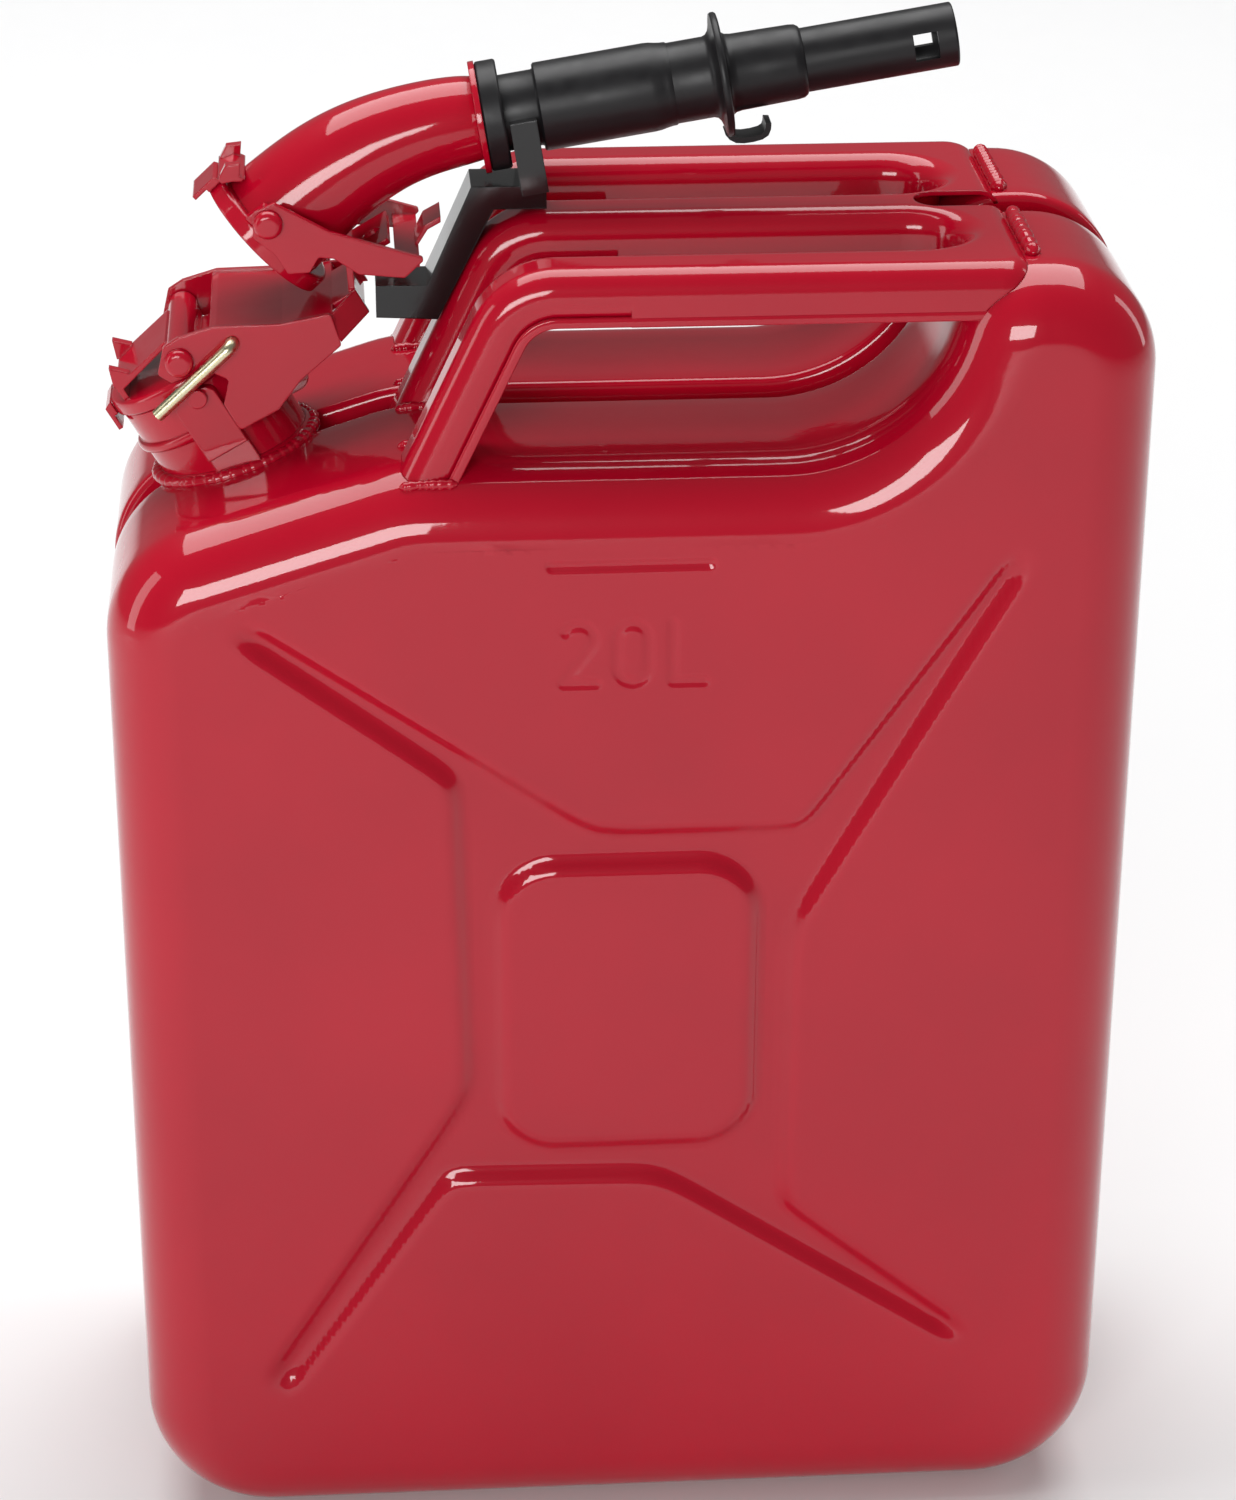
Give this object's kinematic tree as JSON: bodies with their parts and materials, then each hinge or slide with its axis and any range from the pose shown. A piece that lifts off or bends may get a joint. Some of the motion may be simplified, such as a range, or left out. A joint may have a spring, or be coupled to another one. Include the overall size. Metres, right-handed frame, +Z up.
{
  "type": "safety gas can",
  "caption": "Steel fuel can with a recessed cross pressing, triple carrying handle, tilted neck with a cam-lever lid, and a pouring spout stowed over the lid in a bent holder.",
  "frame": {"origin": "centre of the base, on the face it stands on", "axes": "+Z up, +X towards the hump end of the handle, -Y towards the near face, the neck leans towards -X"},
  "size_m": [0.345, 0.165, 0.5359],
  "materials": {
    "red_enamel": "glossy clear-coated enamel",
    "black_enamel": "satin enamel",
    "black_plastic": "moulded, satin",
    "yellow_zinc": "yellow passivated zinc",
    "seal_rubber": "matt",
    "bare_steel": "bright drawn wire"
  },
  "bodies": {
    "lid": {"lid_cap": "red_enamel", "lid_gasket": "seal_rubber", "lid_hinge_arm": "red_enamel", "lid_bridge": "red_enamel", "lid_cross_pin": "red_enamel"},
    "lid_lever": {"lid_lever": "red_enamel"},
    "lock_pin": {"lock_pin": "yellow_zinc"},
    "spout": {"spout_elbow": "red_enamel", "spout_clamp_plate": "red_enamel", "spout_gasket": "seal_rubber", "spout_ears": "red_enamel", "spout_tab": "red_enamel", "spout_rivets": "red_enamel", "spout_end_flange": "red_enamel", "collar_ring": "black_plastic", "collar_seal": "seal_rubber", "nozzle_housing": "black_plastic", "inner_barrel": "black_plastic", "valve_seat": "black_plastic"},
    "spout_lever": {"spout_lever": "red_enamel"},
    "sleeve": {"nozzle_sleeve": "black_plastic", "valve_cross_pin": "bare_steel", "valve_poppet": "black_plastic", "valve_seal": "seal_rubber", "sleeve_spring": "bare_steel"},
    "tank": {"breather_tube": "bare_steel", "catch_ears": "red_enamel", "handle_beads": "red_enamel", "handle_pressing": "red_enamel", "hinge_lugs": "red_enamel", "hinge_pin": "red_enamel", "neck_base_ring": "red_enamel", "neck_tube": "red_enamel", "seam_weld": "red_enamel", "spout_holder": "black_enamel", "tank_half_far": "red_enamel", "tank_half_near": "red_enamel"}
  },
  "joints": [
    {"name": "spout_lift", "type": "slide", "parent": "tank", "child": "spout", "axis": [-0.1616, 0, 0.9869], "range_m": [0, 0.16]},
    {"name": "spout_lever_swing", "type": "hinge", "parent": "spout", "child": "spout_lever", "pos_m": [-0.11508, 0, 0.47355], "axis": [0, -1, 0], "range_deg": [0, 10]},
    {"name": "lid_swing", "type": "hinge", "parent": "tank", "child": "lid", "pos_m": [-0.10864, 0, 0.41417], "axis": [0, 1, 0], "range_deg": [0, 70]},
    {"name": "lid_lever_lift", "type": "hinge", "parent": "lid", "child": "lid_lever", "pos_m": [-0.14571, 0, 0.42798], "axis": [0, -1, 0], "range_deg": [0, 95]},
    {"name": "lock_pin_pull", "type": "slide", "parent": "lid_lever", "child": "lock_pin", "axis": [0, -1, 0], "range_m": [0, 0.07]},
    {"name": "sleeve_slide", "type": "slide", "parent": "spout", "child": "sleeve", "axis": [-0.9869, 0, -0.1616], "range_m": [0, 0.012], "stiffness_N_per_m": 300, "springref_m": -0.01, "deforming": ["sleeve_spring"]}
  ],
  "couplings": [
    {"joint": "lid_swing", "follows": "spout_lift", "rad_per_m": 7.6282},
    {"joint": "lid_lever_lift", "follows": "spout_lift", "rad_per_m": 10.352}
  ]
}
